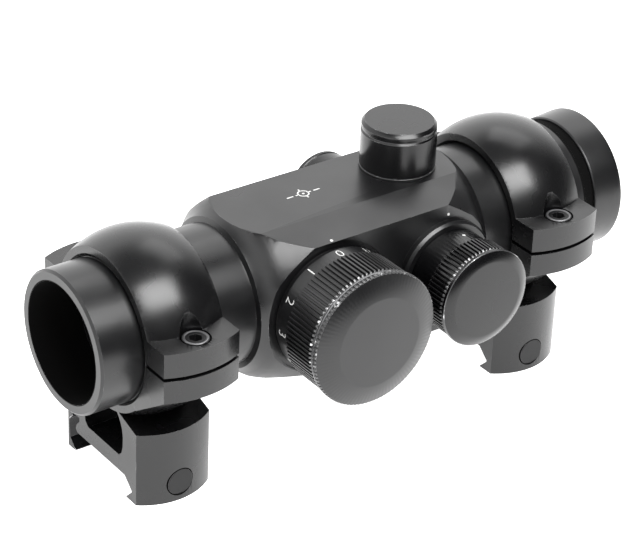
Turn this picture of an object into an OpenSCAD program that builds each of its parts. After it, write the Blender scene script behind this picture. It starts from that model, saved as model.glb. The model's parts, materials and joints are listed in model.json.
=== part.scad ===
// Red dot finder: a 30 mm sight tube in two see-through dovetail ring bases.
// +X runs from the front (objective) end to the eyepiece end, +Z is up.
// The origin is on the top face of the rail, midway between the two rings.

/* [Tube] */
// Height of the optical axis above the top face of the rail
axis_h = 30; // [28:0.5:34]
// Outer radius of the sight tube
tube_r = 15; // [15:0.05:15.1]
// Radius of the bore through the tube
bore_r = 12.7; // [12.6:0.05:12.8]
// Front end of the tube
front_x = -64; // [-66:0.5:-62]
// Rear end of the tube, where the eyepiece ring starts
tube_rear_x = 61; // [60:0.5:62]
// Rear end of the eyepiece ring
rear_x = 68.6; // [68:0.2:70]

/* [Block] */
// Front end of the block
block_x0 = -28; // [-29:0.5:-27]
// Rear end of the block
block_x1 = 30.2; // [29:0.2:31]
// Distance of the top and bottom flats from the optical axis
top_flat = 16.8; // [16.6:0.1:17]
// Half width of the top flat
top_flat_half = 9.2; // [8.8:0.1:9.6]
// Distance of the two side flats from the optical axis
side_flat = 16.8; // [16.6:0.1:17]
// Half height of the side flat under the dial
dial_flat_half = 14.8; // [14.6:0.1:15]

/* [Brightness dial] */
// Position of the dial axis along the tube
dial_x = -11.2; // [-12:0.1:-10]
// Radius of the dial
dial_r = 14.4; // [14:0.1:14.6]
// Distance of the dial's front edge from the optical axis
dial_front = 30; // [30:0.1:30.2]
// Distance of the cover's flat face from the optical axis
dial_cover_front = 33.4; // [33:0.1:34]

/* [Adjusters and selector] */
// Position along the tube of both adjusters and of the selector
turret_x = 17.4; // [17:0.1:18]
// Radius of the adjuster caps
cap_r = 8; // [7.8:0.1:8.2]
// Distance of the flat end of a cap from the optical axis
cap_front = 27.4; // [27:0.1:28]
// Radius of the selector's ridged grip
selector_r = 10.5; // [10.3:0.1:10.6]
// Distance of the selector's flat face from the optical axis
selector_front = 31.9; // [31.6:0.1:32.2]

/* [Rings] */
// Distance between the middles of the two rings
ring_spacing = 91.7; // [88:0.1:92]
// Width of a ring along the tube
ring_w = 17.4; // [16.8:0.1:17.6]
// Radius of the ball shape of a ring
ring_ball_r = 19.3; // [19:0.1:19.6]
// Distance of an ear's outer corner from the optical axis
ear_corner_y = 22.2; // [22:0.1:22.6]
// Height of the upper ear's top above the optical axis
ear_t = 5.7; // [5.4:0.1:5.8]

/* [Rail clamp] */
// Width of the dovetail rail at its widest
rail_w = 21.2; // [21.2:0.05:21.3]
// Depth of the rail's widest line below its top face
rail_edge_depth = 2.74; // [2.7:0.02:2.8]
// Depth of the clamp's feet below the top face of the rail
foot_depth = 5; // [4.9:0.1:5.2]
// Depth of the cross bolt's axis below the top face of the rail
bolt_depth = 0.7; // [0.6:0.05:0.8]
// Radius of the cross bolt, which sits in a cross slot of the rail
bolt_r = 1.9; // [1.8:0.05:2]
// How far the clamp jaws stand open from their closed place on the rail
jaw_open = 2.4; // [0:0.2:2.4]

/* [Hidden] */
$fn = 96;

// Colours
anodised = [0.10, 0.10, 0.11];
gloss_black = [0.05, 0.05, 0.055];
steel = [0.55, 0.56, 0.58];
brass = [0.72, 0.58, 0.30];
rubber = [0.06, 0.06, 0.06];
glass = [0.55, 0.35, 0.32, 0.5];
board_green = [0.08, 0.30, 0.16];

// Clearances and overshoot
run = 0.06;      // radial running clearance
gap = 0.3;       // space between neighbours on different bodies
ring_seat_r = tube_r - 0.03;
over = 1;        // how far a cutter passes its face

// Flare at each end of the block, from the tube to the full corner radius
flare = [[0, tube_r], [0.4, 16.1], [1.5, 16.7], [3.3, 18.5], [5.5, 19.7], [11.5, 22.1], [12.8, 22.6]];

// Adjusters
bushing_neck_r = 6.6;
bushing_neck_top = 22.5;
bushing_hole_r = 6;
drum_r = 4.4;
drum_head_r = 5.6;
plunger_r = 1.5;
plunger_foot_r = 2.8;
inner_tube_r = 10.5;
adjust_gap = 0.05;
flange_t = 0.6;

// Aiming unit
gimbal_x = -46;
gimbal_out_r = 12.2;
gimbal_in_r = 11.05;
gimbal_w = 4.8;
pin_r = 0.8;
inner_front_x = -53.2;
inner_rear_x = 33;
inner_bore_r = 9.5;
lens_seat_r = 9.9;
bow_x = turret_x - 2;    // middle of the return spring

// Dial, in a shallow round pocket of the block
dial_pocket_r = 14.7;
dial_floor = side_flat - 0.5;
dial_back = dial_floor + gap;
dial_neck_r = 13.3;
dial_band_r = 13.9;
dial_neck_front = 18.1;
dial_band_front = 21.3;
dial_cavity_r = 11.9;
click_r = 12.6;
dial_web = [22.6, 25.0];
battery_r = 10;
battery_t = 3.2;
battery_back = 26.5;
cover_bore_r = 12.2;
post_r = 3;

// Selector
boss_r = 11.4;
boss_front = 18.5;
selector_cavity_r = 8.7;
selector_web = 24;
shaft_r = 2.5;

// Rings and clamps: y and z are from the optical axis
ear_bulge = 2;
ring_split = 0.8;
ear_bottom = -5.4;
screw_y = 19.9;
screw_head_r = 2.75;
wall_corner_y = 12.3;
wall_bulge = 3;
wall_top_z = -18.2;
shoulder_z = -26;
jaw_lip_y = 9.3;
seat_z = -axis_h;
edge_z = -axis_h - rail_edge_depth;
foot_z = -axis_h - foot_depth;
rail_half = rail_w / 2 + 0.1;
hook_y = 8.6;
bolt_head_r = 2.9;
nut_seat_y = 13.6;
nut_r = 3.5;

function arc_r(half, bulge) = (half * half + bulge * bulge) / (2 * bulge);

// Placement helpers: local Z points outwards from the optical axis
module on_axis(x = 0) translate([x, 0, axis_h]) children();
module along_tube() rotate([0, 90, 0]) children();
module near_side(x) on_axis(x) rotate([90, 0, 0]) children();
module far_side(x) on_axis(x) rotate([-90, 0, 0]) children();
module at_ring(end) on_axis(end * ring_spacing / 2) children();

// A disc or ring between two heights
module collar(r_out, r_in, z0, z1) {
    difference() {
        translate([0, 0, z0]) cylinder(r = r_out, h = z1 - z0);
        if (r_in > 0) translate([0, 0, z0 - over]) cylinder(r = r_in, h = z1 - z0 + 2 * over);
    }
}

module o_ring(r, section_r, z) {
    translate([0, 0, z]) rotate_extrude() translate([r, 0]) circle(r = section_r, $fn = 24);
}

// ---------------------------------------------------------------- housing

// Outline of the block across the tube: y and z from the optical axis
module block_section() {
    polygon([
        [-top_flat_half, top_flat], [top_flat_half, top_flat],
        [side_flat, top_flat_half], [side_flat, -top_flat_half],
        [top_flat_half, -top_flat], [-top_flat_half, -top_flat],
        [-side_flat, -dial_flat_half], [-side_flat, dial_flat_half]
    ]);
}

module block_turning() {
    profile = concat(
        [[0, block_x0]],
        [for (p = flare) [p[1], block_x0 + p[0]]],
        [for (i = [len(flare) - 1 : -1 : 0]) [flare[i][1], block_x1 - flare[i][0]]],
        [[0, block_x1]]
    );
    along_tube() rotate_extrude() polygon(profile);
}

module block() {
    intersection() {
        block_turning();
        translate([block_x0 - over, 0, 0]) rotate([90, 0, 90])
            linear_extrude(block_x1 - block_x0 + 2 * over) block_section();
    }
}

module tube_blank() {
    chamfer = 0.5;
    seat_x = -ring_spacing / 2 - ring_w / 2 - 0.1;
    relief_w = 0.6;
    relief_r = tube_r - 0.2;
    along_tube() rotate_extrude() polygon([
        [0, front_x], [tube_r - chamfer, front_x], [tube_r, front_x + chamfer],
        [tube_r, seat_x], [relief_r, seat_x], [relief_r, seat_x + relief_w], [ring_seat_r, seat_x + relief_w],
        [ring_seat_r, tube_rear_x - 2.5], [tube_r - 0.7, tube_rear_x - 2.5],
        [tube_r - 0.7, tube_rear_x], [13.8, tube_rear_x], [13.8, tube_rear_x + 5], [0, tube_rear_x + 5]
    ]);
}

module housing() {
    color(anodised) on_axis() difference() {
        union() {
            tube_blank();
            block();
            translate([turret_x, 0, 0]) rotate([90, 0, 0]) {
                cylinder(r = boss_r, h = boss_front - 0.5);
                translate([0, 0, boss_front - 0.5]) cylinder(r1 = boss_r, r2 = boss_r - 0.5, h = 0.5);
            }
        }
        translate([front_x - over, 0, 0]) along_tube() cylinder(r = bore_r, h = rear_x - front_x);
        // seat of the rear window
        translate([tube_rear_x + 0.5, 0, 0]) along_tube() cylinder(r = 13, h = 10);
        // adjuster bushings
        translate([turret_x, 0, 0]) cylinder(r = bushing_hole_r, h = 30);
        translate([turret_x, 0, 0]) rotate([-90, 0, 0]) cylinder(r = bushing_hole_r, h = 30);
        // selector bushing, dial post, click ball
        translate([turret_x, 0, 0]) rotate([90, 0, 0]) cylinder(r = 5, h = 30);
        translate([dial_x, 0, 0]) rotate([90, 0, 0]) {
            cylinder(r = post_r + 0.02, h = 30);
            translate([0, 0, dial_floor]) cylinder(r = dial_pocket_r, h = 5);
            translate([0, -click_r, 13.2]) cylinder(r = 0.86, h = 10);
        }
        // pivots of the gimbal ring
        translate([gimbal_x, 0, -14]) cylinder(r = pin_r + run, h = 28);
        // lead slot and rivet holes
        translate([dial_x, 0, 0]) rotate([90, 0, 0]) translate([6, 0, 0]) cylinder(r = 1.2, h = 30);
        lead_shape(0.05);
        for (x = spring_rivet_x) rivet_at(x) cylinder(r = 1, h = 14.2);
    }
}

// ---------------------------------------------------------------- eyepiece

module eyepiece_ring() {
    color(anodised) on_axis() along_tube() rotate_extrude() polygon([
        [13.85, tube_rear_x + 0.05], [14.7, tube_rear_x + 0.05], [14.95, tube_rear_x + 0.3],
        [15.35, rear_x - 1.2], [15.35, rear_x - 0.5], [14.9, rear_x],
        [12.9, rear_x], [12.9, tube_rear_x + 5.1], [13.85, tube_rear_x + 5.1]
    ]);
}

module rear_window() {
    color(glass) on_axis() along_tube() collar(12.95, 0, tube_rear_x + 1.4, tube_rear_x + 3.0);
}

module rear_window_seal() {
    color(rubber) on_axis() along_tube() o_ring(12.45, 0.44, tube_rear_x + 0.95);
}

module rear_lock_ring() {
    color(anodised) on_axis() along_tube() collar(12.97, 11.6, tube_rear_x + 3.02, tube_rear_x + 4.8);
}

// ---------------------------------------------------------------- aiming unit

module inner_tube() {
    color(anodised) on_axis() difference() {
        along_tube() collar(inner_tube_r, inner_bore_r, inner_front_x, inner_rear_x);
        translate([inner_front_x - over, 0, 0]) along_tube() cylinder(r = lens_seat_r, h = 4.6 + over);
        translate([gimbal_x, 20, 0]) rotate([90, 0, 0]) cylinder(r = pin_r + run, h = 40);
        translate([dial_x, 0, 0]) rotate([90, 0, 0]) translate([0, 0, 5]) cylinder(r = 3.6, h = 10);
    }
}

module gimbal_ring() {
    color(steel) on_axis(gimbal_x) difference() {
        along_tube() collar(gimbal_out_r, gimbal_in_r, -gimbal_w / 2, gimbal_w / 2);
        translate([0, 0, -20]) cylinder(r = pin_r, h = 40);
        translate([0, 20, 0]) rotate([90, 0, 0]) cylinder(r = pin_r, h = 40);
    }
}

module gimbal_pins() {
    color(steel) on_axis(gimbal_x) {
        for (a = [0, 180]) rotate([a, 0, 0]) translate([0, 0, gimbal_in_r + 0.05]) cylinder(r = pin_r, h = 2.7);
        for (a = [90, 270]) rotate([a, 0, 0]) translate([0, 0, 9.7]) cylinder(r = pin_r, h = 2.4);
    }
}

// Thin meniscus between two arcs, hollow towards the eyepiece
module objective_lens() {
    r = 9.85;
    front_sag = 1.2;
    rear_sag = 1.5;
    edge_t = 1.9;
    edge_x = inner_front_x + 2.4;
    steps = 10;
    front_r = arc_r(r, front_sag);
    rear_r = arc_r(r, rear_sag);
    function bow(y, big_r) = sqrt(big_r * big_r - y * y) - sqrt(big_r * big_r - r * r);
    color(glass) on_axis() along_tube() rotate_extrude() polygon(concat(
        [for (i = [0 : steps]) let (y = r * i / steps) [y, edge_x - bow(y, front_r)]],
        [for (i = [steps : -1 : 0]) let (y = r * i / steps) [y, edge_x + edge_t - bow(y, rear_r)]]
    ));
}

module lens_retainer() {
    color(anodised) on_axis() along_tube() collar(lens_seat_r - 0.03, 9, inner_front_x + 0.3, inner_front_x + 2);
}

module emitter_block() {
    color(anodised) on_axis() intersection() {
        translate([24, -4, -9.4]) cube([6, 8, 3.4]);
        translate([20, 0, 0]) along_tube() cylinder(r = inner_bore_r, h = 14);
    }
}

module emitter_diode() {
    color([0.8, 0.1, 0.08]) on_axis() translate([24, 0, -7.6]) rotate([0, -90, 0]) {
        cylinder(r = 0.9, h = 0.8);
        translate([0, 0, 0.8]) sphere(r = 0.6, $fn = 24);
    }
}

module emitter_mask() {
    color(steel) on_axis() difference() {
        translate([22.2, -2.5, -9]) cube([0.25, 5, 2.9]);
        translate([21, 0, -7.6]) along_tube() cylinder(r = 0.25, h = 3, $fn = 16);
    }
}

// The bow spring presses the inner tube up and away from the near side
spring_angle = 135;
spring_rivet_x = [bow_x - 16, bow_x + 16];
module rivet_at(x) translate([x, 0, 0]) rotate([spring_angle, 0, 0]) children();

module return_spring() {
    half = 19;
    wide = 4.4;
    t = 0.35;
    rise = 0.2;
    steps = 8;
    function bow(u) = rise * cos(90 * u);
    outer = [for (i = [-steps : steps]) [half * i / steps, 12.35 - bow(i / steps)]];
    inner = [for (i = [steps : -1 : -steps]) [half * i / steps, 12.35 - t - bow(i / steps)]];
    color(steel) on_axis() rivet_at(bow_x) difference() {
        rotate([90, 0, 0]) translate([0, 0, -wide / 2]) linear_extrude(wide) polygon(concat(outer, inner));
        for (x = spring_rivet_x) translate([x - bow_x, 0, 0]) cylinder(r = 0.7, h = 20);
    }
}

module return_spring_rivets() {
    color(steel) on_axis() for (x = spring_rivet_x) rivet_at(x) {
        translate([0, 0, 11.93]) cylinder(r = 0.68, h = 0.87);
        translate([0, 0, 12.75]) cylinder(r = 1, h = 1.4);
    }
}

// Flat lead let into the near wall of the bore
module lead_shape(room) {
    translate([dial_x + 6.5 - room, 0, 0]) along_tube() intersection() {
        difference() {
            cylinder(r = 12.95 + room, h = 14 + 2 * room);
            translate([0, 0, -over]) cylinder(r = 12.72 - room, h = 30);
        }
        translate([-2 - room, -20, 0]) cube([4 + 2 * room, 20, 30]);
    }
}

module emitter_lead() {
    color(brass) on_axis() lead_shape(0);
}

// ---------------------------------------------------------------- adjusters

module adjuster_cap() {
    base = top_flat + flange_t + 0.05;
    groove = 25.5;
    difference() {
        rotate_extrude() polygon([
            [0, base], [cap_r - 0.15, base], [cap_r, base + 0.15],
            [cap_r, groove - 0.35], [cap_r - 0.3, groove], [cap_r - 0.3, groove + 0.3],
            [cap_r - 0.1, groove + 0.5], [cap_r - 0.1, cap_front - 0.7], [cap_r - 0.75, cap_front],
            [0, cap_front]
        ]);
        translate([0, 0, base - over]) cylinder(r = bushing_neck_r + run, h = cap_front - 1.9 - base + over);
        translate([0, 0, base - over]) cylinder(r = 7.5, h = 1 + over);
    }
}

module cap_seal() o_ring(7.07, 0.4, top_flat + flange_t + 0.5);

module adjuster_bushing() {
    difference() {
        union() {
            collar(8.05, 0, top_flat, top_flat + flange_t);
            translate([0, 0, top_flat]) cylinder(r = bushing_neck_r, h = bushing_neck_top - top_flat);
            translate([0, 0, 13.6]) cylinder(r = bushing_hole_r - 0.02, h = 4);
        }
        translate([0, 0, 17.6]) cylinder(r = drum_r + run, h = 10);
        cylinder(r = plunger_r + run, h = 20);
    }
}

module adjuster_drum() {
    difference() {
        union() {
            translate([0, 0, 17.8]) cylinder(r = drum_r, h = bushing_neck_top - 17.6);
            translate([0, 0, bushing_neck_top + 0.2]) cylinder(r = drum_head_r, h = 1.4);
        }
        translate([0, 0, 17]) cylinder(r = plunger_r + run, h = 5.2);
        translate([-0.5, -3.5, bushing_neck_top + 0.9]) cube([1, 7, 2]);
    }
}

module adjuster_plunger() {
    foot = inner_tube_r + adjust_gap;
    translate([0, 0, foot]) cylinder(r = plunger_foot_r, h = 1.4);
    translate([0, 0, foot + 1.4]) cylinder(r = plunger_r, h = 9);
}

module elevation_cap() color(gloss_black) on_axis(turret_x) adjuster_cap();
module elevation_cap_seal() color(rubber) on_axis(turret_x) cap_seal();
module elevation_bushing() color(anodised) on_axis(turret_x) adjuster_bushing();
module elevation_drum() color(brass) on_axis(turret_x) adjuster_drum();
module elevation_plunger() color(steel) on_axis(turret_x) adjuster_plunger();
module windage_cap() color(gloss_black) far_side(turret_x) adjuster_cap();
module windage_cap_seal() color(rubber) far_side(turret_x) cap_seal();
module windage_bushing() color(anodised) far_side(turret_x) adjuster_bushing();
module windage_drum() color(brass) far_side(turret_x) adjuster_drum();
module windage_plunger() color(steel) far_side(turret_x) adjuster_plunger();

// ---------------------------------------------------------------- brightness dial

module dial() {
    color(anodised) near_side(dial_x) difference() {
        rotate_extrude() polygon([
            [0, dial_back], [dial_neck_r, dial_back], [dial_neck_r, dial_neck_front],
            [dial_band_r, dial_neck_front], [dial_band_r, dial_band_front], [dial_r, dial_band_front + 0.3],
            [dial_r, dial_front - 0.4], [dial_band_r, dial_front], [0, dial_front]
        ]);
        translate([0, 0, dial_back - over]) cylinder(r = dial_cavity_r, h = dial_web[0] - dial_back + over);
        translate([0, 0, dial_web[1]]) cylinder(r = cover_bore_r, h = 10);
        cylinder(r = post_r + run, h = 30);
        // seal groove, and a dimple for each click
        collar(4.15, 0, 23.2, 24.3);
        for (a = [0 : 30 : 330]) rotate(a) translate([0, -click_r, dial_back]) sphere(r = 0.6, $fn = 24);
    }
}

module dial_cover() {
    rim_r = dial_r + 0.3;
    color(anodised) near_side(dial_x) difference() {
        rotate_extrude() polygon([
            [0, dial_front + 0.1], [rim_r - 0.4, dial_front + 0.1], [rim_r, dial_front + 0.4],
            [rim_r, 31.9], [9.8, dial_cover_front], [0, dial_cover_front]
        ]);
        translate([0, 0, dial_front]) cylinder(r = 9, h = 1);
    }
    color(anodised) near_side(dial_x) difference() {
        // screwed skirt with its seal groove
        collar(cover_bore_r - run, 10.6, battery_back + 0.1, dial_front + 0.1);
        collar(13, 11.3, 28.2, 29.2);
    }
}

module dial_cover_seal() color(rubber) near_side(dial_x) o_ring(11.72, 0.4, 28.7);

module battery() {
    color(steel) near_side(dial_x) {
        rim_t = battery_t - 0.4;
        collar(battery_r, 0, battery_back, battery_back + rim_t);
        collar(battery_r - 1.2, 0, battery_back + rim_t, battery_back + battery_t);
    }
}

module battery_contact() {
    color(brass) near_side(dial_x) {
        collar(8, 5.2, 25.02, 25.3);
        for (a = [0, 120, 240]) rotate(a) translate([6.2, -0.8, 25.3]) cube([1.2, 1.6, 1.15]);
    }
}

module dial_post() {
    color(brass) near_side(dial_x) difference() {
        union() {
            translate([0, 0, 12.75]) cylinder(r = post_r, h = 25.9 - 12.75);
            collar(5, 0, dial_floor, dial_floor + 0.4);
        }
        collar(4, 2.4, 25.2, 25.62);
    }
}

module dial_post_seal() color(rubber) near_side(dial_x) o_ring(3.6, 0.48, 23.75);

module dial_clip() {
    color(steel) near_side(dial_x) difference() {
        collar(4.4, 2.42, 25.22, 25.6);
        translate([-0.9, 0, 25]) cube([1.8, 6, 1]);
    }
}

module brightness_board() {
    color(board_green) near_side(dial_x) collar(11.6, 5.1, dial_floor + 0.02, dial_floor + 1.1);
}

module dial_wiper() {
    color(brass) near_side(dial_x) {
        translate([-1.5, 8, 22]) cube([3, 2.6, 0.6]);
        rotate([90, 0, 90]) translate([0, 0, -1]) linear_extrude(2)
            polygon([[8.2, 22], [8.6, 22], [7.4, 17.7], [7, 17.7]]);
    }
}

module dial_click_ball() {
    color(steel) near_side(dial_x) translate([0, -click_r, dial_back - 0.85]) sphere(r = 0.8, $fn = 32);
}

module dial_click_spring() {
    color(steel) near_side(dial_x) translate([0, -click_r, 0]) collar(0.75, 0.5, 13.25, dial_back - 1.7);
}

// ---------------------------------------------------------------- selector

module selector_knob() {
    neck_r = selector_r - 0.6;
    groove_r = selector_r - 0.3;
    rim_r = selector_r + 0.25;
    back = boss_front + 0.15;
    color(gloss_black) near_side(turret_x) {
        difference() {
            rotate_extrude() polygon([
                [0, back], [neck_r, back], [neck_r, 24.4], [selector_r, 24.7],
                [selector_r, 29.6], [groove_r, 29.9], [groove_r, 30.1], [rim_r, 30.3],
                [rim_r, 31.1], [8.5, selector_front], [0, selector_front]
            ]);
            translate([0, 0, back - over]) cylinder(r = selector_cavity_r, h = selector_web - back + over);
        }
        translate([0, 0, 13.1]) difference() {
            cylinder(r = shaft_r, h = selector_web - 13.1 + 0.1);
            collar(4, 1.95, 0.3, 0.72);
        }
    }
}

module selector_bushing() {
    color(brass) near_side(turret_x) difference() {
        union() {
            collar(7.4, 0, boss_front, boss_front + 2.2);
            translate([0, 0, 14.0]) cylinder(r = 4.98, h = 5);
        }
        translate([0, 0, 10]) cylinder(r = shaft_r + run, h = 20);
        collar(3.75, 0, 16.4, 17.5);
    }
}

module selector_seal() color(rubber) near_side(turret_x) o_ring(3.15, 0.45, 16.95);

module selector_clip() {
    color(steel) near_side(turret_x) difference() {
        collar(4, 1.97, 13.42, 13.8);
        translate([-0.8, 0, 13]) cube([1.6, 6, 2]);
    }
}

module selector_board() {
    color(board_green) near_side(turret_x) collar(7.2, 3, boss_front + 2.22, boss_front + 3.2);
}

module selector_wiper() {
    color(brass) near_side(turret_x) {
        translate([-1.2, 5, 23.4]) cube([2.4, 2, 0.6]);
        rotate([90, 0, 90]) translate([0, 0, -0.8]) linear_extrude(1.6)
            polygon([[5.2, 23.4], [5.6, 23.4], [5.0, 21.95], [4.6, 21.95]]);
    }
}

// ---------------------------------------------------------------- rings

// Plan outline with straight ends and a slightly convex face on each side
module bulged_plan(width, corner_y, bulge) {
    r = arc_r(width / 2, bulge);
    for (turn = [0, 180]) rotate(turn) intersection() {
        translate([-width / 2, 0]) square([width, corner_y + bulge]);
        translate([0, corner_y + bulge - r]) circle(r = r, $fn = 180);
    }
}

module ball_zone() {
    intersection() {
        sphere(r = ring_ball_r, $fn = 128);
        cube([ring_w, 60, 60], center = true);
    }
}

module ring_bore() {
    chamfer = 0.7;
    translate([-ring_w / 2 - over, 0, 0]) along_tube() cylinder(r = ring_seat_r + 0.02, h = ring_w + 2 * over);
    for (end = [-1, 1]) translate([end * ring_w / 2, 0, 0]) rotate([0, end * 90, 0])
        translate([0, 0, -chamfer]) cylinder(r1 = tube_r, r2 = tube_r + 2 * chamfer, h = 2 * chamfer);
}

module screw_hole(r, z0, z1) {
    for (side = [-1, 1]) translate([0, side * screw_y, z0]) cylinder(r = r, h = z1 - z0);
}

module ring_top(end) {
    color(anodised) at_ring(end) difference() {
        union() {
            ball_zone();
            linear_extrude(ear_t) bulged_plan(ring_w, ear_corner_y, ear_bulge);
        }
        ring_bore();
        translate([-20, -40, -60]) cube([40, 80, 60 + ring_split / 2]);
        screw_hole(1.6, -10, 20);
        screw_hole(screw_head_r + 0.4, 2.7, 20);
    }
}

module ring_screws(end) {
    color(steel) at_ring(end) for (side = [-1, 1]) translate([0, side * screw_y, 0]) difference() {
        union() {
            translate([0, 0, -4.6]) cylinder(r = 1.5, h = 8);
            translate([0, 0, 2.7]) cylinder(r = screw_head_r, h = 3);
        }
        translate([0, 0, 3.6]) cylinder(r = 1.45, h = 4, $fn = 6);
    }
}

// Lower ears with their sloping undersides, across the tube
module lower_ear_section() {
    polygon([
        [-25, -ring_split / 2], [-25, ear_bottom], [-ear_corner_y, ear_bottom], [-12.2, -12.4],
        [12.2, -12.4], [ear_corner_y, ear_bottom], [25, ear_bottom], [25, -ring_split / 2]
    ]);
}

// Legs, crossbar and the hook that grips the near edge of the rail
module leg_section() {
    slope_y = 4.8;
    slope_z = -15.9;
    polygon([
        [-4, -14], [4, -14], [slope_y, slope_z], [wall_corner_y, wall_top_z], [16, wall_top_z],
        [16, shoulder_z], [jaw_lip_y, shoulder_z], [jaw_lip_y, -26.9], [10.5, -28.3],
        [10.7, -29.3], [10.2, seat_z], [-8, seat_z], [-rail_half, edge_z + 0.3], [-rail_half, edge_z],
        [-hook_y, edge_z - (rail_half - hook_y)], [-hook_y, foot_z], [-16, foot_z],
        [-16, wall_top_z], [-wall_corner_y, wall_top_z], [-slope_y, slope_z]
    ]);
}

// See-through window, wider in the middle than at its rounded ends
module window_section() {
    half = [[5, -16], [6.3, -17.9], [7.1, -19.5], [7.4, -21.4], [7.3, -23.7], [6.9, -25.3], [5.9, -26.3]];
    polygon(concat(half, [for (i = [len(half) - 1 : -1 : 0]) [-half[i][0], half[i][1]]]));
}

module across_ring() translate([-ring_w / 2, 0, 0]) rotate([90, 0, 90]) linear_extrude(ring_w) children();

// Cross bolt axis: local Z points to the near side
module at_bolt() translate([0, 0, -axis_h - bolt_depth]) rotate([90, 0, 0]) children();

module ring_base(end) {
    color(anodised) at_ring(end) difference() {
        union() {
            intersection() {
                union() {
                    ball_zone();
                    across_ring() lower_ear_section();
                }
                translate([0, 0, -30]) linear_extrude(30) bulged_plan(ring_w, ear_corner_y, ear_bulge);
            }
            intersection() {
                across_ring() difference() {
                    leg_section();
                    window_section();
                }
                translate([0, 0, -50]) linear_extrude(50) bulged_plan(ring_w, wall_corner_y, wall_bulge);
            }
        }
        ring_bore();
        translate([-20, -40, -ring_split / 2]) cube([40, 80, 60]);
        screw_hole(1.5, -4.6, 20);
        at_bolt() {
            translate([0, 0, -30]) cylinder(r = bolt_r + 0.02, h = 60);
            translate([0, 0, 12.6]) cylinder(r = bolt_head_r + 0.12, h = 10);
            // straight sides where the bolt crosses the seat's face
            translate([-bolt_r - 0.05, 0, -30]) cube([2 * bolt_r + 0.1, bolt_depth + 0.6, 42]);
        }
    }
}

module clamp_bolt(end) {
    color(steel) at_ring(end) at_bolt() {
        translate([0, 0, 12.62]) cylinder(r = bolt_head_r, h = 2.6);
        translate([0, 0, -19.4]) cylinder(r = bolt_r, h = 32.1);
    }
}

module clamp_jaw(end) {
    lip = 0.35;
    top = shoulder_z - 0.25;
    color(anodised) at_ring(end) translate([0, jaw_open, 0]) difference() {
        intersection() {
            across_ring() polygon([
                [jaw_lip_y + lip, top], [16, top], [16, foot_z], [hook_y, foot_z],
                [hook_y, edge_z - (rail_half - hook_y)], [rail_half, edge_z], [rail_half + 0.3, -29.6],
                [10.85, -28.2], [jaw_lip_y + lip, -26.95]
            ]);
            translate([0, 0, -50]) linear_extrude(50) bulged_plan(ring_w, wall_corner_y - 0.9, wall_bulge);
        }
        at_bolt() translate([0, 0, -30]) cylinder(r = bolt_r + run, h = 60);
        at_bolt() translate([0, 0, -nut_seat_y - 10]) cylinder(r = nut_r + gap, h = 10);
    }
}

module clamp_nut(end) {
    color(steel) at_ring(end) at_bolt() translate([0, 0, -nut_seat_y - jaw_open - 2.25]) difference() {
        cylinder(r = nut_r, h = 2.2, $fn = 6);
        translate([0, 0, -over]) cylinder(r = bolt_r + run, h = 6);
    }
}

module front_ring_top() ring_top(-1);
module front_ring_base() ring_base(-1);
module front_clamp_jaw() clamp_jaw(-1);
module front_clamp_bolt() clamp_bolt(-1);
module front_clamp_nut() clamp_nut(-1);
module front_ring_screws() ring_screws(-1);
module rear_ring_top() ring_top(1);
module rear_ring_base() ring_base(1);
module rear_clamp_jaw() clamp_jaw(1);
module rear_clamp_bolt() clamp_bolt(1);
module rear_clamp_nut() clamp_nut(1);
module rear_ring_screws() ring_screws(1);

housing();
eyepiece_ring();
rear_window();
rear_window_seal();
rear_lock_ring();
inner_tube();
gimbal_ring();
gimbal_pins();
objective_lens();
lens_retainer();
emitter_block();
emitter_diode();
emitter_mask();
return_spring();
return_spring_rivets();
emitter_lead();
elevation_cap();
elevation_cap_seal();
elevation_bushing();
elevation_drum();
elevation_plunger();
windage_cap();
windage_cap_seal();
windage_bushing();
windage_drum();
windage_plunger();
dial();
dial_cover();
dial_cover_seal();
battery();
battery_contact();
dial_post();
dial_post_seal();
dial_clip();
brightness_board();
dial_wiper();
dial_click_ball();
dial_click_spring();
selector_knob();
selector_bushing();
selector_seal();
selector_clip();
selector_board();
selector_wiper();
front_ring_top();
front_ring_base();
front_clamp_jaw();
front_clamp_bolt();
front_clamp_nut();
front_ring_screws();
rear_ring_top();
rear_ring_base();
rear_clamp_jaw();
rear_clamp_bolt();
rear_clamp_nut();
rear_ring_screws();
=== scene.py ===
"""Red dot finder: materials, fine detail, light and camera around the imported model."""
import bmesh
import bpy
import json
import math
from mathutils import Matrix, Vector
from mathutils.bvhtree import BVHTree


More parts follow.
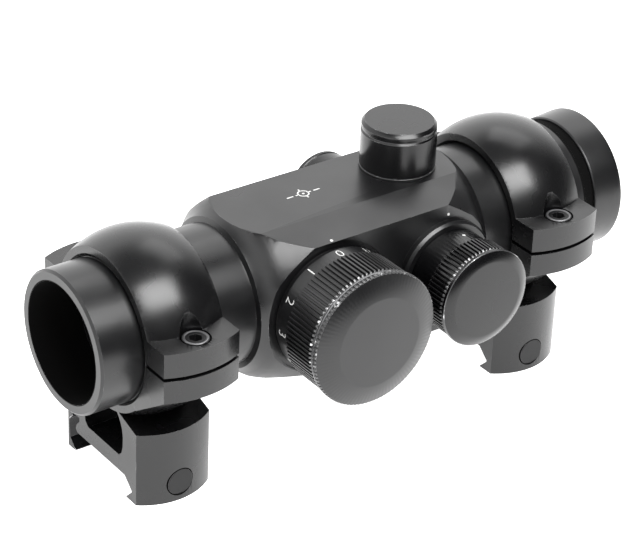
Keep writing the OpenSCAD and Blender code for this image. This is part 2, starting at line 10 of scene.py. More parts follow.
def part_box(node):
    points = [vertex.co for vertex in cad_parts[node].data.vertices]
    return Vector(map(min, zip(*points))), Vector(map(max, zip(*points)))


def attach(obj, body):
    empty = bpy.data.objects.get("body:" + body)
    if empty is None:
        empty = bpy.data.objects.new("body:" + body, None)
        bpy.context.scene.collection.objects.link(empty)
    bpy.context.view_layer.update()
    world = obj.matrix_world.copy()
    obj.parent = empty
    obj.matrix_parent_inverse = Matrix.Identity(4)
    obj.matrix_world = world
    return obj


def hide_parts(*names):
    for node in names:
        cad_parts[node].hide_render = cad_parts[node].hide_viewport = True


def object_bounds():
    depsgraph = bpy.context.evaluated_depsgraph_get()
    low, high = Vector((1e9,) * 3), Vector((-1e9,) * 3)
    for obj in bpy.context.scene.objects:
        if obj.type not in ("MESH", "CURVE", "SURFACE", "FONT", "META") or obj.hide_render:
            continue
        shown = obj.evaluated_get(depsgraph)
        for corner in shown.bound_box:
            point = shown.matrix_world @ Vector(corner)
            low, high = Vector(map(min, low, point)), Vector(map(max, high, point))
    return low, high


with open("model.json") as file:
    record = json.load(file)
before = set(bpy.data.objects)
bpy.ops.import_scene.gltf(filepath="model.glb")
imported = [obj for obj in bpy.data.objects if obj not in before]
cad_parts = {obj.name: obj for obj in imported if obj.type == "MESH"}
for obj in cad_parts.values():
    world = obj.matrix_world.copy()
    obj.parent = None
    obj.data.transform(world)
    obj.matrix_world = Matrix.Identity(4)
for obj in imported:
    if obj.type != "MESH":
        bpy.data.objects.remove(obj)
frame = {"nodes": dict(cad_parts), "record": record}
cad_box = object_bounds()

MM = 0.001
TURN = 2 * math.pi
# First words in the names of the two mounting rings' pieces
ENDS = ("front", "rear")

# Places of the knobs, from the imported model's own boxes
dial_lo, dial_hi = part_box("dial")
knob_lo, knob_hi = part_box("selector_knob")
axis_z = (dial_lo.z + dial_hi.z) / 2
dial_x = (dial_lo.x + dial_hi.x) / 2
turret_x = (knob_lo.x + knob_hi.x) / 2


# ---------------------------------------------------------------- materials

# Noise scales, in waves to the metre: handling marks, patches, and two sizes of blasted grain
HANDLING, PATCHES, COARSE_GRAIN, FINE_GRAIN = 90, 260, 1900, 5200


def set_range(map_range, start, end, low, high):
    for socket, value in (
        ("From Min", start), ("From Max", end), ("To Min", low), ("To Max", high),
    ):
        map_range.inputs[socket].default_value = value


class Nodes:
    """A Principled material with a few short ways to wire it."""

    def __init__(self, name, color, roughness, metallic=0.0, **sockets):
        self.material = bpy.data.materials.new(name)
        self.material.use_nodes = True
        self.tree = self.material.node_tree
        self.shader = self.tree.nodes["Principled BSDF"]
        self.shader.inputs["Base Color"].default_value = (*color, 1)
        self.shader.inputs["Roughness"].default_value = roughness
        self.shader.inputs["Metallic"].default_value = metallic
        for socket, value in sockets.items():
            self.shader.inputs[socket.replace("_", " ")].default_value = value
        self.material.diffuse_color = (*color, 1)
        self.place = self.tree.nodes.new("ShaderNodeTexCoord").outputs["Object"]

    def node(self, kind, **values):
        """A new node. Each value sets the property of that name, or else the input."""
        made = self.tree.nodes.new(kind)
        for key, value in values.items():
            if hasattr(made, key):
                setattr(made, key, value)
            else:
                made.inputs[key.replace("_", " ")].default_value = value
        return made

    def link(self, a, b):
        self.tree.links.new(a, b)

    def noise(self, scale, detail=2.0, stretch=None):
        """Noise fixed to the object, with more waves along an axis whose stretch is over 1."""
        made = self.node("ShaderNodeTexNoise", Scale=scale, Detail=detail)
        if stretch:
            mapping = self.node("ShaderNodeMapping")
            mapping.inputs["Scale"].default_value = stretch
            self.link(self.place, mapping.inputs["Vector"])
            self.link(mapping.outputs["Vector"], made.inputs["Vector"])
        else:
            self.link(self.place, made.inputs["Vector"])
        return made.outputs["Fac"]

    def spread(self, source, low, high, start=0.3, end=0.7):
        """The source from start to end, mapped to low to high."""
        made = self.node("ShaderNodeMapRange")
        set_range(made, start, end, low, high)
        self.link(source, made.inputs["Value"])
        return made.outputs["Result"]

    def roughness(self, source):
        self.link(source, self.shader.inputs["Roughness"])

    def tint(self, factor, dark, light):
        """The base colour, from dark where the factor is 0 to light where it is 1."""
        mix = self.node("ShaderNodeMix", data_type="RGBA")
        for socket in mix.inputs:
            if socket.name in ("A", "B") and socket.type == "RGBA":
                socket.default_value = (*(dark if socket.name == "A" else light), 1)
        self.link(factor, mix.inputs["Factor"])
        colour = next(o for o in mix.outputs if o.type == "RGBA")
        self.link(colour, self.shader.inputs["Base Color"])

    def bump(self, source, depth, strength=1.0):
        """A bump of this depth in metres, on top of the bumps made before it."""
        made = self.node("ShaderNodeBump", Strength=strength, Distance=depth)
        self.link(source, made.inputs["Height"])
        before = self.shader.inputs["Normal"].links
        if before:
            self.link(before[0].from_socket, made.inputs["Normal"])
        self.link(made.outputs["Normal"], self.shader.inputs["Normal"])


def anodised(name, color, roughness, grain=0.004, gloss=0.5):
    """Blasted and dyed aluminium: a fine grain, and slow changes of gloss from handling."""
    m = Nodes(name, color, roughness, Specular_IOR_Level=gloss)
    m.roughness(m.spread(m.noise(HANDLING, 3), roughness - 0.05, roughness + 0.06))
    m.tint(m.noise(PATCHES, 4), [c * 0.75 for c in color], [c * 1.25 for c in color])
    m.bump(m.noise(FINE_GRAIN, 2), grain * MM, 0.6)
    m.bump(m.noise(COARSE_GRAIN, 3), grain * 1.5 * MM, 0.5)
    return m


def worn_edge(name):
    """The black of an edge, lighter than the body's as a painted edge highlight besides real
    burnishing, worn through to bare metal in small spots that also serve as painted glints.
    """
    black, bare_metal_glint = (0.04, 0.04, 0.041), (0.6, 0.6, 0.605)
    m = anodised(name, black, 0.28, grain=0.002, gloss=0.8)
    # Spots of bare metal from wear, made bright enough to act as painted glints
    spots = m.spread(m.noise(560, 4), 0, 1, 0.58, 0.70)
    m.tint(spots, black, bare_metal_glint)
    m.link(m.spread(spots, 0, 0.9, 0, 1), m.shader.inputs["Metallic"])
    return m


def turned(name, color, roughness, metallic=1.0):
    """Bare turned metal: fine tool marks and patches that have dulled."""
    m = Nodes(name, color, roughness, metallic)
    tool_marks = m.noise(3000, 2, stretch=(1, 6, 6))
    m.roughness(m.spread(m.noise(250, 2), roughness - 0.03, roughness + 0.05))
    m.tint(m.noise(300, 3), [c * 0.88 for c in color], color)
    m.bump(tool_marks, 0.0012 * MM, 0.4)
    return m


BODY_COLOR = (0.004, 0.004, 0.0044)


def make_materials():
    """Every material by name. Most names are the material slots of the record."""
    made = {}
    made["body_black"] = anodised("body_black", BODY_COLOR, 0.32)
    made["ring_black"] = anodised("ring_black", (0.003, 0.003, 0.0033), 0.26)
    made["gloss_black"] = anodised(
        "gloss_black", (0.0015, 0.0015, 0.0018), 0.25, grain=0.0015, gloss=0.42
    )
    made["edge"] = worn_edge("edge")
    # Worn bare metal, made bright as a painted highlight, on the screws' edges and rims and on the
    # cover's lip
    made["rubbed_and_highlit"] = turned("rubbed_and_highlit", (0.2, 0.2, 0.205), 0.34, metallic=0.8)
    made["dark_steel"] = anodised("dark_steel", BODY_COLOR, 0.42, gloss=0.3)
    made["bright_steel"] = turned("bright_steel", (0.26, 0.26, 0.265), 0.36)
    made["brass_parts"] = turned("brass_parts", (0.72, 0.52, 0.24), 0.3)

    rubber = Nodes("rubber_seal", (0.012, 0.012, 0.012), 0.6)
    rubber.tint(rubber.noise(500, 3), (0.009, 0.009, 0.009), (0.016, 0.016, 0.016))
    rubber.bump(rubber.noise(2500, 3), 0.01 * MM, 0.5)
    made["rubber_seal"] = rubber

    # Near-black for the painted shade in the gap round the clamp bolt heads
    gap = Nodes("painted_gap_shade", (0.001, 0.001, 0.001), 0.7, Specular_IOR_Level=0.03)
    gap.tint(gap.noise(900, 2), (0.0005, 0.0005, 0.0005), (0.002, 0.002, 0.002))
    made["painted_gap_shade"] = gap

    board = Nodes("circuit_board", (0.02, 0.12, 0.05), 0.45)
    tracks = board.node("ShaderNodeTexWave", Scale=420, Distortion=2.0)
    board.link(board.place, tracks.inputs["Vector"])
    copper_under_mask = board.spread(tracks.outputs["Fac"], 0, 1, 0.6, 0.7)
    board.tint(copper_under_mask, (0.012, 0.10, 0.04), (0.03, 0.19, 0.08))
    made["circuit_board"] = board

    diode = Nodes("diode_red", (0.6, 0.02, 0.015), 0.15, Transmission_Weight=0.5)
    diode.tint(diode.noise(1500, 2), (0.5, 0.012, 0.01), (0.7, 0.03, 0.02))
    made["diode_red"] = diode

    clear = Nodes("clear_glass", (0.93, 0.97, 0.96), 0.03, Transmission_Weight=1.0, IOR=1.5)
    clear.roughness(clear.spread(clear.noise(60, 3), 0.01, 0.05))
    made["clear_glass"] = clear

    coated = Nodes("coated_glass", (0.1, 0.02, 0.016), 0.03, Transmission_Weight=0.35, IOR=1.6)
    coated.shader.inputs["Specular Tint"].default_value = (1.0, 0.45, 0.35, 1)
    coated.roughness(coated.spread(coated.noise(60, 3), 0.02, 0.05))
    made["coated_glass"] = coated

    paint = Nodes("white_paint", (0.55, 0.55, 0.545), 0.5)
    paint.tint(paint.noise(3000, 2), (0.4, 0.4, 0.395), (0.62, 0.62, 0.61))
    paint.bump(paint.noise(6000, 2), 0.004 * MM, 0.5)
    made["white_paint"] = paint
    return {k: v.material for k, v in made.items()}


MATERIALS = make_materials()


# The painted shade, a duller and darker black, lies inside this radius, and behind this place along
# the tube
BORE_R, GROOVE_X = 12.85 * MM, 57.8 * MM
BORE_BLEND, GROOVE_BLEND = 0.05 * MM, 0.2 * MM


def paint_bore_black():
    """The housing's black, with painted shade in the bore and in the groove at the eyepiece: a
    duller, darker black there.
    """
    m = Nodes("tube_black", BODY_COLOR, 0.38)
    parts = m.node("ShaderNodeSeparateXYZ")
    m.link(m.place, parts.inputs["Vector"])
    height = m.node("ShaderNodeMath", operation="SUBTRACT")
    m.link(parts.outputs["Z"], height.inputs[0])
    height.inputs[1].default_value = axis_z
    across = m.node("ShaderNodeCombineXYZ")
    m.link(parts.outputs["Y"], across.inputs["X"])
    m.link(height.outputs["Value"], across.inputs["Y"])
    radius = m.node("ShaderNodeVectorMath", operation="LENGTH")
    m.link(across.outputs["Vector"], radius.inputs[0])
    # Painted shade: the bore and the groove get a darker, duller black with less specular
    past_bore = m.spread(radius.outputs["Value"], 0, 1, BORE_R, BORE_R + BORE_BLEND)
    before_groove = m.spread(parts.outputs["X"], 1, 0, GROOVE_X, GROOVE_X + GROOVE_BLEND)
    both = m.node("ShaderNodeMath", operation="MULTIPLY")
    m.link(past_bore, both.inputs[0])
    m.link(before_groove, both.inputs[1])
    outside = both.outputs["Value"]
    rough = m.node("ShaderNodeMix", data_type="FLOAT", A=0.85)
    m.link(m.spread(m.noise(HANDLING, 3), 0.27, 0.38), rough.inputs["B"])
    m.link(outside, rough.inputs["Factor"])
    m.roughness(rough.outputs["Result"])
    m.link(m.spread(outside, 0.1, 0.5, 0, 1), m.shader.inputs["Specular IOR Level"])
    m.tint(outside, (0.0005, 0.0005, 0.0005), BODY_COLOR)
    m.bump(m.noise(FINE_GRAIN, 2), 0.004 * MM, 0.6)
    return m.material


# ---------------------------------------------------------------- mesh helpers

def finish_mesh(name, bm, materials, body, sharp=30):
    """The mesh as an object that rides on a body, with edges sharp above this angle."""
    bmesh.ops.recalc_face_normals(bm, faces=bm.faces)
    mesh = bpy.data.meshes.new(name)
    bm.to_mesh(mesh)
    bm.free()
    for material in materials:
        mesh.materials.append(material)
    mesh.shade_smooth()
    mesh.set_sharp_from_angle(angle=math.radians(sharp))
    obj = bpy.data.objects.new(name, mesh)
    bpy.context.scene.collection.objects.link(obj)
    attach(obj, body)
    return obj


def level_loop(bm, centre, r, sides):
    """Vertices in a level circle. Sizes are in metres."""
    angles = [TURN * k / sides for k in range(sides)]
    return [bm.verts.new(centre + r * Vector((math.cos(a), math.sin(a), 0))) for a in angles]


def close_loops(bm, loops):
    """Faces between each loop of vertices and the next, and from the last back to the first."""
    for a, b in zip(loops, loops[1:] + loops[:1]):
        for k in range(len(a)):
            k2 = (k + 1) % len(a)
            bm.faces.new((a[k], a[k2], b[k2], b[k]))


def ridge_columns(count, spans):
    """Angles round a ridged knob, each with how far out the ridge stands there, from 0 to 1."""
    return [(TURN * (i + at) / count, out) for i in range(count) for at, out in spans]


def side_lathe(name, x, columns, profile, materials, body, closed=True):
    """A turned piece on the near side. Each profile point is in millimetres: distance from the
    optical axis, radius, radius on a ridge, and the material of the band that follows. A radius
    of 0 is a centre point."""
    bm = bmesh.new()
    rings = []
    for out, r_low, r_high, _ in profile:
        if r_low == 0:
            rings.append([bm.verts.new((x, -out * MM, axis_z))])
            continue
        ring = []
        for angle, rise in columns:
            r = (r_low + (r_high - r_low) * rise) * MM
            place = (x + r * math.cos(angle), -out * MM, axis_z + r * math.sin(angle))
            ring.append(bm.verts.new(place))
        rings.append(ring)
    pairs = list(zip(range(len(rings)), range(1, len(rings))))
    if closed:
        pairs.append((len(rings) - 1, 0))
    for i, j in pairs:
        a, b = rings[i], rings[j]
        for k in range(len(columns)):
            k2 = (k + 1) % len(columns)
            if len(a) == 1:
                face = bm.faces.new((a[0], b[k], b[k2]))
            elif len(b) == 1:
                face = bm.faces.new((a[k], a[k2], b[0]))
            else:
                face = bm.faces.new((a[k], a[k2], b[k2], b[k]))
            face.material_index = profile[i][3]
    return finish_mesh(name, bm, materials, body)


# ---------------------------------------------------------------- carried-over parts

# Width of the broken edge in millimetres, for the outer pieces and for those of each ring
BODY_EDGES = {
    "housing": 0.14, "eyepiece_ring": 0.12, "elevation_cap": 0.1, "windage_cap": 0.1,
    "elevation_bushing": 0.08, "windage_bushing": 0.08,
}
RING_EDGES = {
    "ring_top": 0.2, "ring_base": 0.2, "clamp_jaw": 0.18, "clamp_bolt": 0.16,
    "clamp_nut": 0.12, "ring_screws": 0.14,
}
EDGE_ANGLE = math.radians(34)
MERGE_WITHIN = 0.001 * MM


def break_edges(obj, width, edge_slot):
    """Welds the mesh and breaks its edges. The broken edge gets the material in this slot."""
    weld = obj.modifiers.new("weld", "WELD")
    weld.merge_threshold = MERGE_WITHIN
    bevel = obj.modifiers.new("edge_break", "BEVEL")
    bevel.width = width
    bevel.segments = 2
    bevel.limit_method = "ANGLE"
    bevel.angle_limit = EDGE_ANGLE
    bevel.material = edge_slot
    bevel.use_clamp_overlap = True
    bevel.miter_outer = "MITER_ARC"
    normals = obj.modifiers.new("normals", "WEIGHTED_NORMAL")
    normals.keep_sharp = False
    normals.weight = 100


def dress_cad_parts():
    """Every CAD node gets its material, and the outer ones a fine edge break with a worn edge that is
    also lighter as a painted highlight.
    """
    slots = {p["node"]: p["material_slot"] for p in frame["record"]["subparts"]}
    tube = paint_bore_black()
    edges = dict(BODY_EDGES)
    for end in ENDS:
        for piece, width in RING_EDGES.items():
            edges[f"{end}_{piece}"] = width
    for node, obj in frame["nodes"].items():
        material = tube if node == "housing" else MATERIALS[slots[node]]
        for slot in obj.material_slots:
            slot.material = material
        if node in edges:
            # The broken edges get a lighter material: wear and a painted edge highlight; on the
            # screws, bright metal as a painted highlight
            obj.data.materials.append(MATERIALS["rubbed_and_highlit" if node.endswith("screws") else "edge"])
            break_edges(obj, edges[node] * MM, 0 if node == "eyepiece_ring" else 1)


dress_cad_parts()


# ---------------------------------------------------------------- knobs, screws and bolts

BODY, EDGE, RUBBED_AND_HIGHLIT = 0, 1, 2
DIAL_MATERIALS = [MATERIALS["body_black"], MATERIALS["edge"], MATERIALS["rubbed_and_highlit"]]
SELECTOR_MATERIALS = [MATERIALS["gloss_black"], MATERIALS["edge"]]

# One ridge, one notch: part of the way round it, and how far out the surface stands there
RIDGE = [(0.0, 0), (0.36, 0), (0.46, 0.9), (0.52, 1), (0.86, 1), (0.92, 0.9)]
NOTCH = [(0.0, 0), (0.3, 0), (0.42, 1), (0.88, 1)]
DIAL_RIDGES, COVER_NOTCHES, SELECTOR_RIDGES = 90, 96, 70


def make_dial():
    """Smooth band for the numbers, and straight ridges in front of it."""
    ridges = ridge_columns(DIAL_RIDGES, RIDGE)
    profile = [
        # back face and the neck in the housing
        (16.6, 11.9, 11.9, BODY), (16.6, 13.2, 13.2, BODY), (16.7, 13.3, 13.3, BODY),
        (18.1, 13.3, 13.3, BODY),
        # band for the numbers
        (18.1, 13.8, 13.8, EDGE), (18.2, 13.9, 13.9, BODY), (21.1, 13.9, 13.9, BODY),
        (21.28, 13.9, 13.92, BODY),
        # ridges and front face
        (21.55, 13.9, 14.4, BODY), (29.45, 13.9, 14.4, EDGE), (29.75, 13.85, 14.2, EDGE),
        (30.0, 13.8, 13.9, BODY),
        # battery well, web with the bore for the post, and the hollow behind it
        (30.0, 12.4, 12.4, EDGE), (29.8, 12.2, 12.2, BODY), (25.0, 12.2, 12.2, BODY),
        (25.0, 3.06, 3.06, BODY), (22.6, 3.06, 3.06, BODY), (22.6, 11.9, 11.9, BODY),
    ]
    dial = side_lathe("dial_grip", dial_x, ridges, profile, DIAL_MATERIALS, "dial")
    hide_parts("dial")


def make_dial_cover():
    """Screwed cover with a lip of bright metal as a painted highlight line, a finely notched rim and
    a broad cone up to its flat face.
    """
    notches = ridge_columns(COVER_NOTCHES, NOTCH)
    profile = [
        # flat face and cone
        (33.4, 0, 0, BODY), (33.4, 9.6, 9.6, BODY), (33.36, 10.0, 10.0, BODY),
        (32.02, 14.32, 14.32, BODY),
        # notched rim
        (31.95, 14.4, 14.45, EDGE), (31.75, 14.42, 14.68, EDGE), (31.2, 14.42, 14.7, BODY),
        (31.15, 14.42, 14.45, BODY),
        # lip of bright metal, a painted highlight line, and back face
        (31.1, 14.45, 14.45, EDGE), (31.0, 14.68, 14.68, RUBBED_AND_HIGHLIT), (30.75, 14.7, 14.7, EDGE),
        (30.45, 14.6, 14.6, BODY), (30.1, 14.3, 14.3, BODY),
        # skirt, and the recess inside it
        (30.1, 12.14, 12.14, BODY), (26.75, 12.14, 12.14, EDGE), (26.6, 12.0, 12.0, BODY),
        (26.6, 10.6, 10.6, BODY), (30.1, 10.6, 10.6, BODY), (30.1, 9.0, 9.0, BODY),
        (31.0, 9.0, 9.0, BODY), (31.0, 0, 0, BODY),
    ]
    cover = side_lathe(
        "battery_cover", dial_x, notches, profile, DIAL_MATERIALS, "dial_cover",
        closed=False,
    )
    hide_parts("dial_cover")


def make_selector():
    """Face with a sloping edge, rim, ridges and smooth neck, with the hollow and the shaft inside."""
    ridges = ridge_columns(SELECTOR_RIDGES, RIDGE)
    profile = [
        # face and its sloping edge
        (31.9, 0, 0, BODY), (31.9, 8.3, 8.3, BODY), (31.85, 8.7, 8.7, BODY),
        (31.14, 10.62, 10.62, EDGE),
        # rim
        (31.0, 10.75, 10.75, BODY), (30.4, 10.75, 10.75, EDGE), (30.3, 10.65, 10.65, BODY),
        (30.1, 10.2, 10.2, BODY),
        # ridges
        (29.95, 10.0, 10.05, EDGE), (29.6, 10.0, 10.42, EDGE), (29.4, 10.0, 10.5, BODY),
        (24.7, 10.0, 10.5, EDGE),
        # neck
        (24.45, 9.9, 9.95, BODY), (24.2, 9.9, 9.9, BODY), (18.75, 9.9, 9.9, EDGE),
        (18.65, 9.8, 9.8, BODY),
        # hollow and shaft
        (18.65, 8.7, 8.7, BODY), (24.0, 8.7, 8.7, BODY), (24.0, 2.5, 2.5, BODY),
        (13.1, 2.5, 2.5, BODY), (13.1, 0, 0, BODY),
    ]
    knob = side_lathe(
        "selector_grip", turret_x, ridges, profile, SELECTOR_MATERIALS, "selector",
        closed=False,
    )
    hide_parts("selector_knob")


def make_screw_rims():
    """A rim of polished metal on the head of each ring screw, bright as a painted highlight ring."""
    head_r, sides = 2.75, 48
    # radius, and height above the head, in millimetres
    rim = [(2.62, -0.1), (2.62, 0.02), (2.5, 0.1), (2.3, 0.1), (2.1, 0.0), (2.1, -0.1)]
    bm = bmesh.new()
    for end in ENDS:
        lo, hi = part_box(end + "_ring_screws")
        for side in (-1, 1):
            head = Vector(((lo.x + hi.x) / 2, side * (hi.y - head_r * MM), hi.z))
            close_loops(bm, [
                level_loop(bm, head + Vector((0, 0, z * MM)), r * MM, sides) for r, z in rim
            ])
    finish_mesh("screw_rims", bm, [MATERIALS["rubbed_and_highlit"]], "root", sharp=60)


def find_wall(wall):
    """A function that gives Y where a ray from a place on the near side meets this wall."""
    tree = BVHTree.FromObject(wall, bpy.context.evaluated_depsgraph_get())
    to_wall, to_world = wall.matrix_world.inverted(), wall.matrix_world
    inward = to_wall.to_3x3() @ Vector((0, 1, 0))
    return lambda place: (to_world @ tree.ray_cast(to_wall @ place, inward)[0]).y


def make_bolt_rings():
    """A thin near-black band of painted shade round each clamp bolt's flush head, where the gap there
    lies in shade. It follows the curve of the wall beside it, which two rays per spoke find just
    outside the gap."""
    sides, lift, depth = 48, 0.03 * MM, 0.3 * MM
    inner, outer, near, far = (past_head * MM for past_head in (0.04, 0.26, 0.42, 0.72))
    bm = bmesh.new()
    for end in ENDS:
        lo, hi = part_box(end + "_clamp_bolt")
        head_r = (hi.z - lo.z) / 2
        well_outside = 2 * cad_box[0].y
        centre = Vector(((lo.x + hi.x) / 2, well_outside, (lo.z + hi.z) / 2))
        wall_y = find_wall(frame["nodes"][end + "_ring_base"])
        loops = [[], [], [], []]
        for k in range(sides):
            spoke = Vector((math.cos(TURN * k / sides), 0, math.sin(TURN * k / sides)))
            at_near = wall_y(centre + spoke * (head_r + near))
            at_far = wall_y(centre + spoke * (head_r + far))
            slope = (at_far - at_near) / (far - near)
            for loop, r, out in zip(
                loops, (inner, outer, outer, inner), (lift, lift, -depth, -depth)
            ):
                place = centre + spoke * (head_r + r)
                place.y = at_near + slope * (r - near) - out
                loop.append(bm.verts.new(place))
        close_loops(bm, loops)
    # Painted shade: a near-black band where the gap round the head is in shade
    finish_mesh("painted_bolt_gap_shade", bm, [MATERIALS["painted_gap_shade"]], "root")


make_dial()
make_dial_cover()
make_selector()
make_screw_rims()
make_bolt_rings()


# ---------------------------------------------------------------- painted marks

def text_mesh(word, height):
    """A word as a closed mesh, centred, of this height. Its faces lie at z = 1 and z = -1."""
    curve = bpy.data.curves.new("word", "FONT")
    curve.body = word
    curve.align_x = "CENTER"
    curve.align_y = "CENTER"
    curve.resolution_u = 4
    curve.offset = -0.012
    curve.extrude = 0.01
    holder = bpy.data.objects.new("word", curve)
    bpy.context.scene.collection.objects.link(holder)
    bpy.context.view_layer.update()
    mesh = bpy.data.meshes.new_from_object(holder)
    bpy.data.objects.remove(holder)
    xs = [v.co.x for v in mesh.vertices]
    ys = [v.co.y for v in mesh.vertices]
    scale = height / (max(ys) - min(ys))
    mid = ((max(xs) + min(xs)) / 2, (max(ys) + min(ys)) / 2)
    for v in mesh.vertices:
        v.co.x = (v.co.x - mid[0]) * scale
        v.co.y = (v.co.y - mid[1]) * scale
        v.co.z = 1 if v.co.z > 0 else -1
    return mesh


def make_numbers():
    """White numbers on the dial's band, feet to the housing, rising anticlockwise from the top."""
    band_r, band_middle, height, lift = 13.9, 19.75, 2.3, 0.02
    count, first = 12, math.radians(2)
    one_digit_width, two_digit_width = 0.92, 0.78
    for i in range(count):
        mesh = text_mesh(str(i), height)
        narrow = two_digit_width if i > 9 else one_digit_width
        centre = first + TURN * i / count
        for v in mesh.vertices:
            angle = centre + v.co.x * narrow / band_r
            r = (band_r + lift * v.co.z) * MM
            out = (band_middle + v.co.y) * MM
            v.co = Vector((dial_x - r * math.sin(angle), -out, axis_z + r * math.cos(angle)))
        mesh.materials.append(MATERIALS["white_paint"])
        obj = bpy.data.objects.new(f"dial_number_{i}", mesh)
        bpy.context.scene.collection.objects.link(obj)
        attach(obj, "dial")


# Dots and lines of paint, in millimetres
DOT_R, PAINT_T = 0.36, 0.05


def disc(bm, centre, normal, r):
    """A thin closed disc of paint, its radius in millimetres, half sunk in the surface."""
    spin = Vector(normal).to_track_quat("Z", "Y").to_matrix().to_4x4()
    bmesh.ops.create_cone(
        bm, cap_ends=True, segments=20, radius1=r * MM, radius2=r * 0.9 * MM,
        depth=PAINT_T * MM, matrix=Matrix.Translation(Vector(centre)) @ spin,
    )


def make_dots():
    """Index dots on the housing's facet and boss, and the dot on the selector's neck."""
    facet_dot, facet_up = (dial_x, -16.2 * MM, axis_z + 14.96 * MM), (0, -2.0, 7.6)
    boss_dot, boss_up = (turret_x + 0.8 * MM, -16.8 * MM, axis_z + 12.55 * MM), (0, -1, 0)
    bm = bmesh.new()
    disc(bm, facet_dot, facet_up, DOT_R)
    disc(bm, boss_dot, boss_up, DOT_R)
    finish_mesh("index_dots", bm, [MATERIALS["white_paint"]], "root")

    neck_r, neck_out, angle = 9.9 * MM, 21.6 * MM, math.radians(-7)
    up = Vector((-math.sin(angle), 0, math.cos(angle)))
    bm = bmesh.new()
    disc(bm, Vector((turret_x, -neck_out, axis_z)) + neck_r * up, up, DOT_R)
    finish_mesh("selector_dot", bm, [MATERIALS["white_paint"]], "selector")


def make_top_mark():
    """A plain aiming-mark sign on the top flat: a ring with a dot and four ticks, between two
    bars."""
    mark_x, top_flat = -6.6, 16.8
    ring_r, line, dot_r, sides = 1.15, 0.3, 0.3, 40
    tick_at, tick_length = 1.55, 0.7
    bar_at, bar_length, bar_width = 3.3, 1.6, 0.34
    centre = Vector((mark_x * MM, 0, axis_z + top_flat * MM))
    bm = bmesh.new()

    def bar(x, y, length, width, angle):
        size = Matrix.Diagonal((length * MM, width * MM, PAINT_T * MM, 1))
        place = Matrix.Translation(centre + Vector((x, y, 0)) * MM)
        turn = Matrix.Rotation(angle, 4, "Z")
        bmesh.ops.create_cube(bm, size=1, matrix=place @ turn @ size)

    up = Vector((0, 0, PAINT_T / 2)) * MM
    inner, outer = (ring_r - line / 2) * MM, (ring_r + line / 2) * MM
    close_loops(bm, [
        level_loop(bm, centre + rise, r, sides)
        for r, rise in ((inner, -up), (inner, up), (outer, up), (outer, -up))
    ])
    disc(bm, centre, (0, 0, 1), dot_r)
    for k in range(4):
        angle = TURN * k / 4
        bar(tick_at * math.cos(angle), tick_at * math.sin(angle), tick_length, line, angle)
    for side in (-1, 1):
        bar(side * bar_at, 0, bar_length, bar_width, 0)
    finish_mesh("top_mark", bm, [MATERIALS["white_paint"]], "root")


make_numbers()
make_dots()
make_top_mark()


# ---------------------------------------------------------------- floor, light, camera

def make_floor():
    """White floor. What the object mirrors of it fades out towards the dark side of the room."""
    half_size, below = 3.0, 0.02 * MM
    dark_from, bright_from, darkest = -0.38, -0.13, 0.12
    white, black, glow_strength = (0.7, 0.7, 0.7), (0.05, 0.05, 0.05), 1.1
    bm = bmesh.new()
    bmesh.ops.create_grid(bm, x_segments=8, y_segments=8, size=half_size)
    mesh = bpy.data.meshes.new("floor")
    bm.to_mesh(mesh)
    bm.free()
    floor = Nodes("floor_white", white, 0.8, Emission_Color=(1, 1, 1, 1))
    parts = floor.node("ShaderNodeSeparateXYZ")
    floor.link(floor.place, parts.inputs["Vector"])
    mirrored = floor.spread(parts.outputs["Y"], darkest, 1.0, dark_from, bright_from)
    seen = floor.node("ShaderNodeLightPath").outputs["Is Camera Ray"]
    bright = floor.node("ShaderNodeMath", operation="MAXIMUM")
    floor.link(mirrored, bright.inputs[0])
    floor.link(seen, bright.inputs[1])
    floor.tint(bright.outputs["Value"], black, white)
    glow = floor.node("ShaderNodeMath", operation="MULTIPLY")
    floor.link(bright.outputs["Value"], glow.inputs[0])
    glow.inputs[1].default_value = glow_strength
    floor.link(glow.outputs["Value"], floor.shader.inputs["Emission Strength"])
    mesh.materials.append(floor.material)
    obj = bpy.data.objects.new("floor", mesh)
    obj.location.z = cad_box[0].z - below
    bpy.context.scene.collection.objects.link(obj)


def area_light(name, azimuth, elevation, width, height, radiance, distance=0.6):
    """A soft box seen from the object at this azimuth (from -Y towards -X) and elevation."""
    light = bpy.data.lights.new(name, "AREA")
    light.shape = "RECTANGLE"
    light.size, light.size_y = width, height
    light.energy = radiance * math.pi * width * height
    obj = bpy.data.objects.new(name, light)
    a, e = math.radians(azimuth), math.radians(elevation)
    back = Vector((-math.sin(a) * math.cos(e), -math.cos(a) * math.cos(e), math.sin(e)))
    obj.location = Vector((0, 0, axis_z)) + back * distance
    obj.rotation_mode = "QUATERNION"
    obj.rotation_quaternion = back.to_track_quat("Z", "Y")
    bpy.context.scene.collection.objects.link(obj)


# Brightness of the room's walls and ceiling, and how much of it is left on the dark side
WALL, CEILING, FRONT_SHADE = 1.95, 0.3, 0.05
# Height of a direction where the wall starts to darken, and where it is as dim as the ceiling
WALL_TO, CEILING_FROM = 0.64, 0.95
# Azimuth of the dark side in degrees, from -Y towards +X, and the cosines of the angles away
# from it where the shade starts and where it is full
DARK_SIDE, SHADE_FROM, SHADE_FULL = 28, -0.1, 0.6


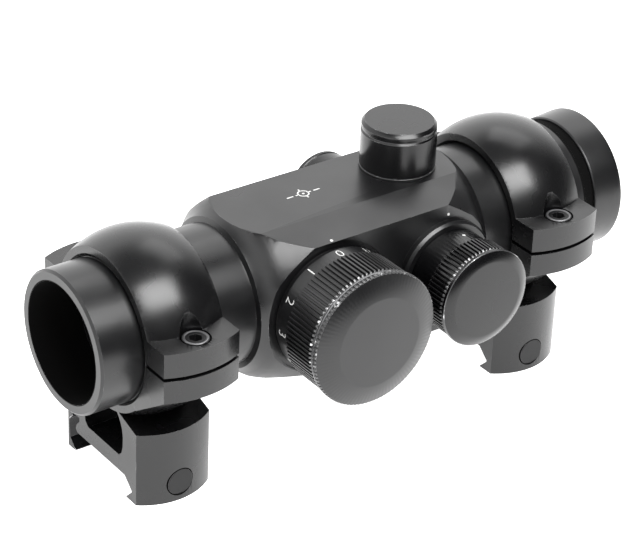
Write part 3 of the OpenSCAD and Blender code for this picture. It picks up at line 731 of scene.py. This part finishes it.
def make_world():
    """A white room: bright low walls behind and beside the object, a dim ceiling, and a dark
    side in front."""
    world = bpy.data.worlds.new("room")
    bpy.context.scene.world = world
    world.use_nodes = True
    tree = world.node_tree
    background = tree.nodes["Background"]
    background.inputs["Color"].default_value = (1, 1, 1, 1)

    def ramp(source, start, end, low, high):
        made = tree.nodes.new("ShaderNodeMapRange")
        made.interpolation_type = "SMOOTHSTEP"
        set_range(made, start, end, low, high)
        tree.links.new(source, made.inputs["Value"])
        return made.outputs["Result"]

    def combine(operation, a, b):
        made = tree.nodes.new("ShaderNodeMath")
        made.operation = operation
        tree.links.new(a, made.inputs[0])
        tree.links.new(b, made.inputs[1])
        return made.outputs["Value"]

    direction = tree.nodes.new("ShaderNodeTexCoord").outputs["Generated"]
    parts = tree.nodes.new("ShaderNodeSeparateXYZ")
    tree.links.new(direction, parts.inputs["Vector"])
    toward_dark = tree.nodes.new("ShaderNodeVectorMath")
    toward_dark.operation = "DOT_PRODUCT"
    azimuth = math.radians(DARK_SIDE)
    toward_dark.inputs[1].default_value = (math.sin(azimuth), -math.cos(azimuth), 0)
    tree.links.new(direction, toward_dark.inputs[0])
    wall = ramp(parts.outputs["Z"], WALL_TO, CEILING_FROM, WALL, CEILING)
    shade = ramp(toward_dark.outputs["Value"], SHADE_FROM, SHADE_FULL, 1.0, FRONT_SHADE)
    # The camera itself sees plain white behind the object
    seen = tree.nodes.new("ShaderNodeLightPath").outputs["Is Camera Ray"]
    strength = combine("MAXIMUM", combine("MULTIPLY", wall, shade), seen)
    tree.links.new(strength, background.inputs["Strength"])


def make_camera():
    """A long lens that looks down on the near side and the front, with a slight roll."""
    place = Vector((-283.12, -372.05, 297.22)) * MM
    # Angles of the way back from the object to the camera, in degrees
    azimuth, elevation, roll = (math.radians(v) for v in (-36.932, 30.041, 2.365))
    back = Vector((
        math.sin(azimuth) * math.cos(elevation), -math.cos(azimuth) * math.cos(elevation),
        math.sin(elevation),
    ))
    right = Vector((math.cos(azimuth), math.sin(azimuth), 0))
    up = back.cross(right)
    rolled_right = right * math.cos(roll) + up * math.sin(roll)
    rolled_up = up * math.cos(roll) - right * math.sin(roll)
    data = bpy.data.cameras.new("camera")
    data.lens = 148.97
    data.sensor_width = 36
    data.clip_start, data.clip_end = 0.02, 20
    obj = bpy.data.objects.new("camera", data)
    rotation = Matrix((rolled_right, rolled_up, back)).transposed().to_4x4()
    obj.matrix_world = Matrix.Translation(place) @ rotation
    bpy.context.scene.collection.objects.link(obj)
    bpy.context.scene.camera = obj


make_floor()
make_world()
area_light("key", azimuth=2, elevation=54, width=0.46, height=0.32, radiance=14)
area_light("back", azimuth=-122, elevation=56, width=0.36, height=0.26, radiance=2.0)
make_camera()
bpy.context.scene.view_settings.view_transform = "Standard"
